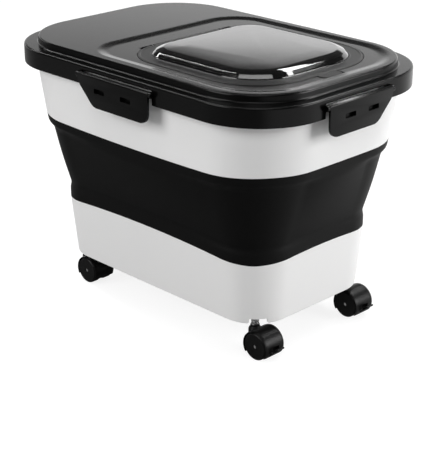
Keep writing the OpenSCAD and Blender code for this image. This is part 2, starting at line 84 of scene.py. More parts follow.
LID = even(215.0, 145.6, 82.0)
CROWN = even(201.8, 132.4, 78.0)
RIM_SHOULDER = even(204.0, 134.6, 79.0)
RIM_FOOT = even(198.1, 128.7, 79.0)
BASE_TOP = even(171.3, 105.6, 52.6)
BASE_FOOT = even(165.3, 97.7, 44.9)
RECESS = Outline(84.0, 192.3, 122.9, 46.0, 68.5)
HATCH = Outline(43.0, 171.0, 105.0, 53.0, 70.0)

SIDES = ("front", "back", "right", "left")

CORNER_STEPS = 20
SIDE_STEPS = 20
HOLD = 0.3
MOST_REACH = 0.44
MOST_HOLD = 0.47
SHARP = 0.05

# ---- Lines and surfaces ----


def mixed(low, high, share):
    return Outline(*(a + (b - a) * share for a, b in zip(low, high)))


def base_at(z):
    return mixed(BASE_FOOT, BASE_TOP, (z - BASE_FOOT_Z) / (BASE_TOP_Z - BASE_FOOT_Z))


def band_at(z):
    return mixed(BASE_TOP, RIM_FOOT, (z - BASE_TOP_Z) / (RIM_FOOT_Z - BASE_TOP_Z))


def rim_at(z):
    return mixed(RIM_FOOT, RIM_SHOULDER, (z - RIM_FOOT_Z) / (SKIRT_Z - RIM_FOOT_Z))


def perimeter(outline):
    """Points round an outline, their outward directions, and how near each is to the middle of its side."""
    back, front, side, back_r, front_r = outline
    corners = [(front - front_r, side - front_r, front_r), (back_r - back, side - back_r, back_r),
               (back_r - back, back_r - side, back_r), (front - front_r, front_r - side, front_r)]
    points, outward, midway = [], [], []
    for number, (x, y, r) in enumerate(corners):
        next_x, next_y, next_r = corners[(number + 1) % 4]
        for step in range(CORNER_STEPS + 1):
            angle = math.radians(90 * (number + step / CORNER_STEPS))
            way = np.array((math.cos(angle), math.sin(angle)))
            points.append(np.array((x, y)) + r * way)
            outward.append(way)
            midway.append(0.0)
        start, end = points[-1], np.array((next_x, next_y)) + next_r * way
        for step in range(1, SIDE_STEPS):
            share = step / SIDE_STEPS
            points.append(start + (end - start) * share)
            outward.append(way)
            midway.append(1 - (2 * share - 1) ** 2)
    return np.array(points), np.array(outward), np.array(midway)


def arched(points, outline, arch):
    """How far an edge rises or dips at each point, most at the middle of the sides and of the ends."""
    along_side = arch.side * (1 - (points[:, 0] / outline.front) ** 2)
    along_end = arch.end * (1 - (points[:, 1] / outline.side) ** 2)
    height = (np.abs(along_side) ** 5 + np.abs(along_end) ** 5) ** 0.2
    return math.copysign(1, arch.side) * height


def grown(outline, out):
    """An outline pushed out square to itself, or drawn in where the distance is negative."""
    back, front, side, back_r, front_r = outline
    return Outline(back + out, front + out, side + out, max(back_r + out, SHARP), max(front_r + out, SHARP))


def ring(outline, out=0.0, z=0.0, arch=FLAT, draw=0.0):
    """A closed line round a grown outline at height z, arched, and drawn in at the middle of each side."""
    line = grown(outline, out)
    points, outward, midway = perimeter(line)
    flat = points - outward * (draw * midway)[:, None]
    return np.column_stack([flat, z + arched(points, line, arch)])


def circle(radius, z, steps=64):
    angles = np.arange(steps) * 2 * math.pi / steps
    return np.column_stack([radius * np.cos(angles), radius * np.sin(angles), np.full(steps, float(z))])


def softened(stations, closed=True):
    """Rings for a skin. Each station is (ring, radius), and the radius rounds the edge at the ring."""
    rings = []
    count = len(stations)
    for number, (corner, radius) in enumerate(stations):
        if radius == 0 or (not closed and number in (0, count - 1)):
            rings.append(corner)
            continue
        legs = []
        for neighbour in (stations[number - 1][0], stations[(number + 1) % count][0]):
            way = neighbour - corner
            length = np.linalg.norm(way, axis=1, keepdims=True)
            reach = np.minimum(radius, MOST_REACH * length)
            hold = np.minimum(radius + HOLD, MOST_HOLD * length)
            legs.append((way / length, reach, hold))
        (way_in, reach_in, hold_in), (way_out, reach_out, hold_out) = legs
        start, end = corner + way_in * reach_in, corner + way_out * reach_out
        rings.append(corner + way_in * hold_in)
        steps = 3 if radius < 1 else 5 if radius < 3 else 8
        for step in range(steps + 1):
            t = step / steps
            rings.append((1 - t) ** 2 * start + 2 * t * (1 - t) * corner + t * t * end)
        rings.append(corner + way_out * hold_out)
    return rings


def mesh_object(name, points, faces):
    mesh = bpy.data.meshes.new(name)
    mesh.from_pydata((np.asarray(points, float) * MM).tolist(), [], faces)
    shape = bmesh.new()
    shape.from_mesh(mesh)
    bmesh.ops.recalc_face_normals(shape, faces=shape.faces)
    shape.to_mesh(mesh)
    shape.free()
    thing = bpy.data.objects.new(name, mesh)
    bpy.context.scene.collection.objects.link(thing)
    return thing


def skin(name, rings, closed=True):
    """A surface over rings of points: a closed tube of walls, or a body with a flat face at each end."""
    count, rows = len(rings[0]), len(rings)
    faces = []
    for row in range(rows if closed else rows - 1):
        a, b = row * count, (row + 1) % rows * count
        for k in range(count):
            after = (k + 1) % count
            faces.append((a + k, a + after, b + after, b + k))
    if not closed:
        faces.append(tuple(range(count)))
        faces.append(tuple(range((rows - 1) * count, rows * count)))
    return mesh_object(name, np.concatenate(rings), faces)


def placed(thing, matrix):
    """Moves a piece's mesh to its place, in millimetres, and leaves its object at the origin."""
    shift = matrix.copy()
    shift.translation = shift.translation * MM
    thing.data.transform(shift)
    if matrix.determinant() < 0:
        thing.data.flip_normals()
    return thing


def prism(name, profile, depth, soft=0.0):
    """A flat outline in X and Z, made thick along Y and centred there."""
    profile = np.array(profile, float)
    count = len(profile)
    points = [(x, y, z) for y in (-depth / 2, depth / 2) for x, z in profile]
    faces = [tuple(range(count)), tuple(range(count, 2 * count))]
    faces += [(k, (k + 1) % count, count + (k + 1) % count, count + k) for k in range(count)]
    thing = mesh_object(name, points, faces)
    return bevelled(thing, soft) if soft else thing


def block(name, low, high, soft=0.0):
    """A box from its lowest to its highest corner, with its edges rounded."""
    (x0, y0, z0), (x1, y1, z1) = low, high
    thing = prism(name, [(x0, z0), (x1, z0), (x1, z1), (x0, z1)], y1 - y0)
    placed(thing, Matrix.Translation((0, (y0 + y1) / 2, 0)))
    return bevelled(thing, soft) if soft else thing


def rod(name, radius, length, soft=0.0, steps=48):
    """A round bar along Y, centred there."""
    stations = [(circle(radius, -length / 2, steps), soft), (circle(radius, length / 2, steps), soft)]
    if soft:
        stations.insert(0, (circle(radius - 2 * soft, -length / 2, steps), 0))
        stations.append((circle(radius - 2 * soft, length / 2, steps), 0))
    thing = skin(name, softened(stations, closed=False), closed=False)
    return placed(thing, Matrix.Rotation(math.radians(-90), 4, "X"))


def arc(x, z, radius, start, end, steps=8):
    """Points on part of a circle, from one angle to another in degrees."""
    angles = np.radians(np.linspace(start, end, steps + 1))
    return [(x + radius * math.cos(a), z + radius * math.sin(a)) for a in angles]


def settled(thing):
    """The piece as its modifiers leave it, as a plain mesh."""
    graph = bpy.context.evaluated_depsgraph_get()
    mesh = bpy.data.meshes.new_from_object(thing.evaluated_get(graph))
    thing.modifiers.clear()
    thing.data = mesh
    return thing


def bevelled(thing, width, limit=40):
    bevel = thing.modifiers.new("edges", "BEVEL")
    bevel.width = width * MM
    bevel.segments = 3
    bevel.limit_method = "ANGLE"
    bevel.angle_limit = math.radians(limit)
    return settled(thing)


def shaped(thing, tools, operation):
    """The piece joined with, or cut by, other solids, which are then gone."""
    for tool in tools:
        step = thing.modifiers.new("shape", "BOOLEAN")
        step.operation = operation
        step.solver = "EXACT"
        step.object = tool
    settled(thing)
    for tool in tools:
        bpy.data.objects.remove(tool)
    return thing


def joined(thing, *tools):
    return shaped(thing, tools, "UNION")


def cut(thing, *tools):
    return shaped(thing, tools, "DIFFERENCE")


def dressed(thing, material, body, slot, *nodes, crease=32):
    """Gives a finished piece its material, the body that it rides on and the solids that it stands for."""
    thing.data.materials.clear()
    thing.data.materials.append(material)
    thing.data.shade_smooth()
    thing.data.set_sharp_from_angle(angle=math.radians(crease))
    if body:
        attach(thing, body)
    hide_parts(*nodes)
    return thing


# ---- Materials ----


class Finish:
    """A moulded or metal finish, with its nodes reading the piece's own coordinates in metres."""

    def __init__(self, name, colour, roughness, **sockets):
        self.material = bpy.data.materials.new(name)
        self.material.use_nodes = True
        self.tree = self.material.node_tree
        self.shader = self.tree.nodes["Principled BSDF"]
        self.shader.inputs["Base Color"].default_value = (*colour, 1)
        self.shader.inputs["Roughness"].default_value = roughness
        for socket, value in sockets.items():
            self.shader.inputs[socket.replace("_", " ")].default_value = value
        self.place = self.node("ShaderNodeTexCoord").outputs["Object"]

    def node(self, kind, **values):
        made = self.tree.nodes.new(kind)
        for name, value in values.items():
            setattr(made, name, value)
        return made

    def link(self, source, target):
        self.tree.links.new(source, target)

    def noise(self, scale, detail=3.0):
        noise = self.node("ShaderNodeTexNoise")
        noise.inputs["Scale"].default_value = scale
        noise.inputs["Detail"].default_value = detail
        self.link(self.place, noise.inputs["Vector"])
        return noise.outputs["Fac"]

    def spread(self, source, low, high, start=0.3, end=0.7):
        """Turns a 0 to 1 pattern into a range of values."""
        spread = self.node("ShaderNodeMapRange")
        for socket, value in zip(("From Min", "From Max", "To Min", "To Max"), (start, end, low, high)):
            spread.inputs[socket].default_value = value
        self.link(source, spread.inputs["Value"])
        return spread.outputs["Result"]

    def tint(self, pattern, first, second):
        """Lets the colour drift between two near colours."""
        mix = self.node("ShaderNodeMix", data_type="RGBA")
        mix.inputs["A"].default_value = (*first, 1)
        mix.inputs["B"].default_value = (*second, 1)
        self.link(pattern, mix.inputs["Factor"])
        self.link(mix.outputs["Result"], self.shader.inputs["Base Color"])

    def grain(self, pattern, height, strength=1.0):
        """A raised grain, its height in millimetres."""
        bump = self.node("ShaderNodeBump")
        bump.inputs["Distance"].default_value = height * MM
        bump.inputs["Strength"].default_value = strength
        self.link(pattern, bump.inputs["Height"])
        self.link(bump.outputs["Normal"], self.shader.inputs["Normal"])

    def rough(self, pattern, low, high):
        self.link(self.spread(pattern, low, high), self.shader.inputs["Roughness"])


def grey(value, warmth=0.0):
    return (value * (1 + warmth), value, value * (1 - warmth))


def white_plastic():
    finish = Finish("white_plastic", grey(0.84), 0.42, Specular_IOR_Level=0.35)
    finish.tint(finish.spread(finish.noise(6.0), 0, 1), grey(0.835, 0.002), grey(0.85, 0.004))
    finish.rough(finish.noise(900.0), 0.40, 0.44)
    finish.grain(finish.noise(2400.0, 2.0), 0.01, 0.20)
    return finish.material


def gloss_black():
    finish = Finish("black_plastic", grey(0.0014), 0.22, Specular_IOR_Level=0.15)
    finish.tint(finish.spread(finish.noise(8.0), 0, 1), grey(0.0012), grey(0.0017))
    finish.rough(finish.noise(900.0), 0.20, 0.24)
    finish.grain(finish.noise(2600.0, 2.0), 0.004, 0.12)
    return finish.material


def satin_black():
    finish = Finish("satin_black", grey(0.0030), 0.48, Specular_IOR_Level=0.45)
    finish.tint(finish.spread(finish.noise(8.0), 0, 1), grey(0.0026), grey(0.0036))
    finish.rough(finish.noise(900.0), 0.46, 0.50)
    finish.grain(finish.noise(2600.0, 2.0), 0.006, 0.15)
    return finish.material


def band_rubber():
    finish = Finish("band_rubber", grey(0.0016), 0.55, Specular_IOR_Level=0.10)
    finish.tint(finish.spread(finish.noise(7.0), 0, 1), grey(0.0014), grey(0.0019))
    finish.rough(finish.noise(900.0), 0.53, 0.57)
    finish.grain(finish.noise(1800.0, 3.0), 0.015, 0.25)
    return finish.material


def caster_nylon():
    finish = Finish("caster_nylon", grey(0.0018), 0.36, Specular_IOR_Level=0.16)
    finish.tint(finish.spread(finish.noise(60.0), 0, 1), grey(0.0015), grey(0.0024))
    finish.rough(finish.noise(900.0), 0.33, 0.39)
    finish.grain(finish.noise(2600.0, 2.0), 0.01, 0.3)
    return finish.material


def seal_silicone():
    finish = Finish("seal_silicone", grey(0.012), 0.55)
    finish.tint(finish.spread(finish.noise(30.0), 0, 1), grey(0.010), grey(0.015))
    finish.rough(finish.noise(300.0), 0.50, 0.60)
    finish.grain(finish.noise(1200.0, 2.0), 0.03, 0.4)
    return finish.material


def bright_steel():
    finish = Finish("bright_steel", grey(0.62), 0.16, Metallic=1.0)
    finish.tint(finish.spread(finish.noise(80.0), 0, 1), grey(0.59), grey(0.65))
    finish.rough(finish.noise(500.0), 0.13, 0.21)
    finish.grain(finish.noise(2600.0, 1.0), 0.01, 0.3)
    return finish.material


def smoky_clear():
    finish = Finish("smoky_clear", grey(0.10), 0.03, Transmission_Weight=1.0, IOR=1.49)
    finish.rough(finish.noise(40.0), 0.02, 0.04)
    finish.grain(finish.noise(20.0, 1.0), 0.02, 0.05)
    return finish.material


WHITE = white_plastic()
BLACK = gloss_black()
SATIN = satin_black()
RUBBER = band_rubber()
NYLON = caster_nylon()
SILICONE = seal_silicone()
STEEL = bright_steel()
CLEAR = smoky_clear()

# ---- Base ----

CASTER_X = 144.1
CASTER_Y = 76.5
BOSS_R = 9.7
SOCKET_R = 6.7
BOSS_TOP_Z = 76.1
NOTCH_WIDTH = 20.0
NOTCH_HEIGHT = 6.0
FLOOR_UNDER_Z = FLOOR_Z - BASE_WALL


def caster_places():
    """The name of each caster's corner, and the turn of its middle point."""
    for end, x in (("right", CASTER_X), ("left", -CASTER_X)):
        for side, y in (("front", -CASTER_Y), ("back", CASTER_Y)):
            yield f"{end}_{side}", x, y


def notch_cutter(x, y):
    """A notch with soft corners above and flared corners below, through the base's foot."""
    half, top, flare, soft = NOTCH_WIDTH / 2, BASE_FOOT_Z + NOTCH_HEIGHT, 2.4, 1.0
    low = BASE_FOOT_Z - 1
    flared = arc(half + flare, BASE_FOOT_Z + flare, flare, 270, 180)
    half_profile = [(half + flare, low)] + flared + arc(half - soft, top - soft, soft, 0, 90)
    profile = half_profile + [(-u, z) for u, z in reversed(half_profile)]
    cutter = prism("notch", profile, 30)
    turn = math.atan2(y, x)
    reach = Vector((x, y, 0)) + Vector((math.cos(turn), math.sin(turn), 0)) * 12
    return placed(cutter, Matrix.Translation(reach) @ Matrix.Rotation(turn - math.pi / 2, 4, "Z"))


def post(name, x, y, radius, low, high, soft=0.0):
    stations = [(circle(radius, low), 0), (circle(radius, high), soft)]
    if soft:
        stations.append((circle(radius - 2 * soft, high), 0))
    return placed(skin(name, softened(stations, closed=False), closed=False), Matrix.Translation((x, y, 0)))


def white_base():
    under, floor = base_at(FLOOR_UNDER_Z), base_at(FLOOR_Z)
    shell = skin("white_base", softened([
        (ring(under, -BASE_WALL - 8, FLOOR_UNDER_Z), 0),
        (ring(under, -BASE_WALL, FLOOR_UNDER_Z), 1.0),
        (ring(BASE_FOOT, -BASE_WALL, BASE_FOOT_Z), 0.5),
        (ring(BASE_FOOT, 0, BASE_FOOT_Z), 0.9),
        (ring(BASE_TOP, 0, BASE_TOP_Z, BASE_ARCH), 0.4),
        (ring(BASE_TOP, -BASE_WALL, BASE_TOP_Z, BASE_ARCH), 0.4),
        (ring(floor, -BASE_WALL, FLOOR_Z), 5.0),
        (ring(floor, -BASE_WALL - 12, FLOOR_Z), 0),
    ], closed=False), closed=False)
    bosses = [post("boss", x, y, BOSS_R, FLOOR_UNDER_Z + 1, BOSS_TOP_Z, 1.5) for _, x, y in caster_places()]
    joined(shell, *bosses)
    holes = [post("hole", x, y, SOCKET_R, BASE_FOOT_Z, BOSS_TOP_Z - 2.5) for _, x, y in caster_places()]
    notches = [notch_cutter(x, y) for _, x, y in caster_places()]
    cut(shell, *holes, *notches)
    return dressed(shell, WHITE, "base", "white_shell", "base_shell")


# ---- Folding band ----

BORDER_FOOT = 11.0
BORDER_TOP = 9.0
STEP_RUN = 7.0
STEP_FOOT = 1.5
STEP_TOP = 7.2
BORDER_DRAW_IN = 1.5
BAND_BULGE = 1.0
SIDE_EASE = 0.92


def folding_band():
    """An upper and a lower border that stand upright, and the folding panel between them, drawn open in one
    fixed shape.

    The panel is stepped in at the corners, and the steps fade towards the middle of each side.
    """
    foot_z, top_z = BASE_TOP_Z + BORDER_FOOT, RIM_FOOT_Z - BORDER_TOP
    middle_z = (foot_z + top_z) / 2
    middle_arch = Arch(*((low + high) / 2 for low, high in zip(BASE_ARCH, RIM_ARCH)))
    middle_step = (STEP_FOOT + STEP_TOP) / 2 - BAND_BULGE

    def stepped(outline, out, z, arch, step):
        return ring(outline, out - step, z, arch, -step * SIDE_EASE)

    def wall(out, radius):
        return [
            (ring(BASE_TOP, out, BASE_TOP_Z, BASE_ARCH), 0.3),
            (ring(BASE_TOP, out, foot_z, BASE_ARCH), radius),
            (stepped(BASE_TOP, out, foot_z + STEP_RUN, BASE_ARCH, STEP_FOOT), radius + 2),
            (stepped(band_at(middle_z), out, middle_z, middle_arch, middle_step), 40.0),
            (stepped(RIM_FOOT, out, top_z - STEP_RUN, RIM_ARCH, STEP_TOP), radius + 2),
            (stepped(RIM_FOOT, out, top_z, RIM_ARCH, BORDER_DRAW_IN), radius),
            (ring(RIM_FOOT, out, RIM_FOOT_Z, RIM_ARCH), 0.3),
        ]

    band = skin("folding_band", softened(wall(0, 2.0) + wall(-BAND_WALL, 2.0)[::-1]))
    dressed(band, RUBBER, None, "black_rubber", "fold_band", crease=60)
    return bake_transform(band)


# ---- Rim ----

FLANGE_REACH = 5.5
FLANGE_THICK = 2.4
FLANGE_LIP = 1.8
LUG_DEPTH = 12.4
LUG_DROP = 3.0
SIDE_LATCH = 114.0
END_LATCH = 101.0
SIDE_PITCH = 43.0
END_PITCH = 37.0
SLOT_WIDTH = 16.0
SLOT_HEIGHT = 4.6
SLOT_Z = 281.0
CATCH_WIDTH = SLOT_WIDTH + 3


def at_side(name):
    """The place of a latch: drawn with +X out of the skirt and +Y along it."""
    turn = {"right": 0, "back": 90, "left": 180, "front": 270}[name]
    away = LID.front if name in ("right", "left") else LID.side
    return Matrix.Rotation(math.radians(turn), 4, "Z") @ Matrix.Translation((away, 0, 0))


def latch_sizes(name):
    return (END_LATCH, END_PITCH) if name in ("right", "left") else (SIDE_LATCH, SIDE_PITCH)


def rim_lug(side):
    """The lug behind a latch, as wide as its two catches."""
    _, pitch = latch_sizes(side)
    half = (pitch + CATCH_WIDTH) / 2
    low, high = (-LUG_DEPTH, -half, SKIRT_Z - LUG_DROP), (0, half, FLANGE_Z + FLANGE_THICK / 2)
    return placed(block("lug", low, high, 0.6), at_side(side))


def white_rim():
    lip_z, flange_top_z = SKIRT_Z + GAP, FLANGE_Z + FLANGE_THICK
    flange, top = rim_at(FLANGE_Z), rim_at(RIM_TOP_Z)
    shell = skin("white_rim", softened([
        (ring(RIM_FOOT, -RIM_WALL, RIM_FOOT_Z, RIM_ARCH), 0.4),
        (ring(RIM_FOOT, 0, RIM_FOOT_Z, RIM_ARCH), 0.5),
        (ring(flange, 0, FLANGE_Z), 0.8),
        (ring(flange, FLANGE_REACH - FLANGE_LIP, FLANGE_Z), 0.4),
        (ring(flange, FLANGE_REACH - FLANGE_LIP, lip_z), 0.3),
        (ring(flange, FLANGE_REACH, lip_z), 0.3),
        (ring(flange, FLANGE_REACH, flange_top_z), 0.6),
        (ring(rim_at(flange_top_z), 0, flange_top_z), 0.8),
        (ring(top, 0, RIM_TOP_Z), 0.8),
        (ring(top, -RIM_WALL, RIM_TOP_Z), 0.8),
    ]))
    joined(shell, *(rim_lug(side) for side in SIDES))
    return dressed(shell, WHITE, "rim", "white_shell", "rim_frame")


# ---- Lid ----

LATCH_TOP_Z = 297.8
BARREL_R = 3.6
PIN_Z = LATCH_TOP_Z - BARREL_R
PIN_OUT = 3.0
EAR = 3.2
HINGE_HALF = 52.0
HINGE_EAR = 4.0
KNUCKLE_R = 2.7
MOUTH_INSET = 11.0
POCKET_REACH = 182.4
POCKET_HALF = 17.5
POCKET_DEPTH = 5.4
POCKET_WALL = 2.2
RECESS_SLOPE = 9.0
SEAM_Z = 310.8
SEAM_GAP = 0.7
SWING_R = 3.3
SWING_HALF = 72.0


def latch_bay(side):
    width, _ = latch_sizes(side)
    low = (-LID_WALL - 1, -width / 2 - GAP, SKIRT_Z - 1)
    high = (1, width / 2 + GAP, PIN_Z + BARREL_R + GAP)
    return placed(block("bay", low, high), at_side(side))


def latch_ears(side):
    width, _ = latch_sizes(side)
    reach = BARREL_R - GAP
    profile = [(-LID_WALL, PIN_Z - BARREL_R), (PIN_OUT - 1, PIN_Z - BARREL_R)]
    profile += arc(PIN_OUT, PIN_Z, reach, -80, 90, 12)
    profile += [(-LID_WALL, PIN_Z + reach)]
    for end in (-1, 1):
        ear = prism("ear", profile, EAR, 0.4)
        middle = end * (width / 2 + GAP + EAR / 2)
        yield placed(ear, at_side(side) @ Matrix.Translation((0, middle, 0)))


def finger_pocket():
    """The pocket's walls under the recess's floor, and the hollow in it."""
    low = (HATCH.front - POCKET_WALL, -POCKET_HALF - POCKET_WALL, RECESS_Z - POCKET_DEPTH - POCKET_WALL)
    high = (POCKET_REACH + POCKET_WALL - 0.6, POCKET_HALF + POCKET_WALL, RECESS_Z - 0.5)
    hollow_low = (HATCH.front - 1, -POCKET_HALF, RECESS_Z - POCKET_DEPTH)
    hollow_high = (POCKET_REACH, POCKET_HALF, RECESS_Z + 6)
    return block("pocket", low, high, 0.8), block("hollow", hollow_low, hollow_high, 2.0)


def hinge_seat():
    """The pad and ears that hold the hatch's pins, and the trough and bore between them."""
    clear = KNUCKLE_R + GAP
    length = HINGE_HALF + HINGE_EAR + GAP
    pad = block("pad", (-HATCH.back - clear - LID_WALL, -length, RECESS_Z - 2 * LID_WALL),
                (-HATCH.back + clear + LID_WALL, length, RECESS_Z - 0.2))
    ears = []
    for end in (-1, 1):
        profile = [(-KNUCKLE_R, RECESS_Z - 1 - HINGE_Z), (KNUCKLE_R, RECESS_Z - 1 - HINGE_Z)]
        profile += arc(0, 0, KNUCKLE_R, 0, 180, 14)
        ear = prism("hinge_ear", profile, HINGE_EAR, 0.3)
        middle = end * (HINGE_HALF + GAP + HINGE_EAR / 2)
        ears.append(placed(ear, Matrix.Translation((-HATCH.back, middle, HINGE_Z))))
    axis = Matrix.Translation((-HATCH.back, 0, HINGE_Z))
    trough = placed(rod("trough", clear, 2 * (HINGE_HALF + GAP)), axis)
    bore = placed(rod("bore", 1.2, 2 * length + 2), axis)
    return pad, ears, trough, bore


def black_lid():
    """Skirt, ledge, raised top and recess in one wall, with a well for the hatch round the opening."""
    inner_ledge, inner_top = LEDGE_Z - LID_WALL, CROWN_Z - LID_WALL
    under_recess = RECESS_Z - LID_WALL
    shell = skin("black_lid", softened([
        (ring(LID, -LID_WALL, SKIRT_Z), 0.4),
        (ring(LID, 0, SKIRT_Z), 0.7),
        (ring(LID, 0, LEDGE_Z), 2.4),
        (ring(CROWN, 0.6, LEDGE_Z), 1.4),
        (ring(CROWN, -0.4, CROWN_Z), 2.2),
        (ring(RECESS, 0, CROWN_Z), 3.0),
        (ring(RECESS, -RECESS_SLOPE, SEAM_Z), 3.5),
        (ring(HATCH, SEAM_GAP, SEAM_Z), 0.3),
        (ring(HATCH, SEAM_GAP, RECESS_Z), 0.3),
        (ring(HATCH, -MOUTH_INSET, RECESS_Z), 0.4),
        (ring(HATCH, -MOUTH_INSET, under_recess), 0.4),
        (ring(RECESS, -RECESS_SLOPE + 2, under_recess), 2.0),
        (ring(RECESS, LID_WALL, inner_top), 1.0),
        (ring(CROWN, -LID_WALL, inner_top), 1.0),
        (ring(CROWN, -LID_WALL, inner_ledge), 1.0),
        (ring(LID, -LID_WALL, inner_ledge), 1.0),
    ]))
    swing = placed(rod("swing", SWING_R, 2 * SWING_HALF), Matrix.Translation((-HATCH.back, 0, HINGE_Z)))
    cut(shell, swing, *(latch_bay(side) for side in SIDES))
    pad, ears, trough, bore = hinge_seat()
    pocket, hollow = finger_pocket()
    joined(shell, pad, pocket, *ears, *(ear for side in SIDES for ear in latch_ears(side)))
    cut(shell, trough, bore, hollow)
    return dressed(shell, BLACK, "lid", "black_plastic", "lid_panel")


# ---- Flip hatch ----

TAB_HALF = 15.0
TAB_REACH = 182.0
WINDOW_INSET = 16.0
SEAT_INSET = 21.0
DOME_HEIGHT = 8.5
WINDOW_WALL = 2.0


def lifting_tab():
    """A rounded tab past the hatch's free edge."""
    thick_z = HATCH_Z + 0.9
    tab_outline = Outline(0, 22, TAB_HALF, 0.6, 5.0)
    tab = skin("tab", softened([
        (ring(tab_outline, -4, thick_z), 0),
        (ring(tab_outline, 0, thick_z), 0.3),
        (ring(tab_outline, 0, HATCH_TOP_Z), 0.8),
        (ring(tab_outline, -4, HATCH_TOP_Z), 0),
    ], closed=False), closed=False)
    return placed(tab, Matrix.Translation((TAB_REACH - 22, 0, 0)))


def ear_notch(side):
    """The room at one end of the knuckle for the lid's ear."""
    clear = KNUCKLE_R + GAP
    near, far = HINGE_HALF, HINGE_HALF + HINGE_EAR + 2 * GAP
    low, high = sorted((side * near, side * far))
    return block("notch", (-HATCH.back - clear, low, HATCH_Z - 1), (-HATCH.back + clear, high, CROWN_Z))


def hatch_moulding():
    """The hatch's frame with its knuckle, a bead near its edge and another round the window."""
    frame_piece = skin("hatch_moulding", softened([
        (ring(HATCH, -SEAT_INSET, HATCH_Z), 0.4),
        (ring(HATCH, 0, HATCH_Z), 0.4),
        (ring(HATCH, 0, HATCH_TOP_Z), 0.5),
        (ring(HATCH, -1.6, HATCH_TOP_Z), 0.3),
        (ring(HATCH, -2.0, HATCH_TOP_Z + 0.35), 0.3),
        (ring(HATCH, -2.9, HATCH_TOP_Z + 0.35), 0.3),
        (ring(HATCH, -3.3, HATCH_TOP_Z - 0.1), 0.3),
        (ring(HATCH, -13.8, HATCH_TOP_Z - 0.1), 0.3),
        (ring(HATCH, -14.4, HATCH_TOP_Z + 0.45), 0.4),
        (ring(HATCH, -15.5, HATCH_TOP_Z + 0.45), 0.4),
        (ring(HATCH, -16.2, HATCH_TOP_Z - 0.05), 0.2),
        (ring(HATCH, -SEAT_INSET, HATCH_TOP_Z - 0.05), 0.4),
    ]))
    knuckle = rod("knuckle", KNUCKLE_R, 2 * HINGE_HALF, 0.4)
    placed(knuckle, Matrix.Translation((-HATCH.back, 0, HINGE_Z)))
    joined(frame_piece, lifting_tab(), knuckle)
    cut(frame_piece, ear_notch(-1), ear_notch(1))
    return dressed(frame_piece, SATIN, "hatch", "black_plastic", "hatch_frame")


def dome_rings(inset, height):
    """Rings over a dome: a steep rim, a rounded shoulder and a nearly flat top with a crisp edge."""
    profile = ((0.0, 0.0, 0), (0.3, 0.15, 0.4), (4.4, 0.62, 0.6), (8.8, 0.85, 2.4), (12.4, 0.965, 1.2),
               (34.0, 1.0, 0))
    stations = [(ring(HATCH, -inset - in_by, HATCH_TOP_Z + height * rise), soft)
                for in_by, rise, soft in profile]
    return softened(stations, closed=False)


def smoky_window():
    outer = dome_rings(WINDOW_INSET, DOME_HEIGHT)
    inner = dome_rings(WINDOW_INSET + WINDOW_WALL, DOME_HEIGHT - WINDOW_WALL)
    window = skin("smoky_window", outer[::-1] + inner, closed=False)
    return dressed(window, CLEAR, "hatch", "window", "hatch_window", crease=40)


# ---- Latches ----

LATCH_FACE = 6.6
LATCH_THICK = 3.0
LATCH_FOOT_Z = 262.0
LATCH_CORNER_R = 13.0
SLANT = 25.0
SLANT_SOFT = 7.0
CREST = 0.4
CATCH_BELOW = 4.0
CATCH_ABOVE = 1.0
FACE_BEND = 1.8
TOP_REACH = 2.0
TOP_FALL = 1.15
LIP_HEIGHT = 9.0
LIP_FLARE = 0.5
EDGE_R = 0.7


def flap_section():
    """A latch cut across: a sloping top, a flat face, a flared lip, a flat back and the pin's barrel."""
    flat, crest = LATCH_FACE - LIP_FLARE, PIN_OUT + CREST
    shoulder, bend = LATCH_TOP_Z - TOP_FALL, flat - crest - TOP_REACH
    section = [(crest, LATCH_TOP_Z)]
    section += [(crest + TOP_REACH + bend * math.sin(a), shoulder - FACE_BEND * (1 - math.cos(a)))
                for a in np.linspace(0, math.pi / 2, 7)]
    lip_z = LATCH_FOOT_Z + LIP_HEIGHT
    section += [(flat + LIP_FLARE * t * t, lip_z - (LIP_HEIGHT + 1) * t) for t in np.linspace(0, 1, 8)]
    back = LATCH_FACE - LATCH_THICK
    section += [(back, LATCH_FOOT_Z - 1), (back, PIN_Z - BARREL_R - 1)]
    return section + arc(PIN_OUT, PIN_Z, BARREL_R, 262, 90, 20)


def flap_front(width, far_end):
    """A latch seen from the front: one lower corner rounded, and the one at the far end cut on a slant."""
    half, high = width / 2, LATCH_TOP_Z + 1
    corners = [(-half, high, 0.3), (half, high, 0.3), (half, LATCH_FOOT_Z + SLANT, SLANT_SOFT),
               (half - SLANT, LATCH_FOOT_Z, SLANT_SOFT), (-half, LATCH_FOOT_Z, LATCH_CORNER_R)]
    line = []
    for number, (u, z, reach) in enumerate(corners):
        corner = np.array((u, z))
        ends = []
        for neighbour in (corners[number - 1], corners[(number + 1) % len(corners)]):
            way = np.array(neighbour[:2]) - corner
            ends.append(corner + way / np.linalg.norm(way) * reach)
        for t in np.linspace(0, 1, 9):
            line.append((1 - t) ** 2 * ends[0] + 2 * t * (1 - t) * corner + t * t * ends[1])
    return [(far_end * u, z) for u, z in line]


def catch(place):
    """The block that closes the back of a slot."""
    half = CATCH_WIDTH / 2
    low = (GAP, place - half, SLOT_Z - SLOT_HEIGHT / 2 - CATCH_BELOW)
    return block("catch", low, (4.4, place + half, SLOT_Z + SLOT_HEIGHT / 2 + CATCH_ABOVE), 0.4)


def slot_cutter(place):
    """A slot with a flared mouth, blind in the catch behind it."""
    mouth = Outline(SLOT_HEIGHT / 2, SLOT_HEIGHT / 2, SLOT_WIDTH / 2, 1.0, 1.0)
    lines = [ring(mouth, out, depth)[:, ::-1] for out, depth in ((1.8, 7.4), (0.2, 5.8), (0.0, 1.2))]
    return placed(skin("slot", lines, closed=False), Matrix.Translation((0, place, SLOT_Z)))


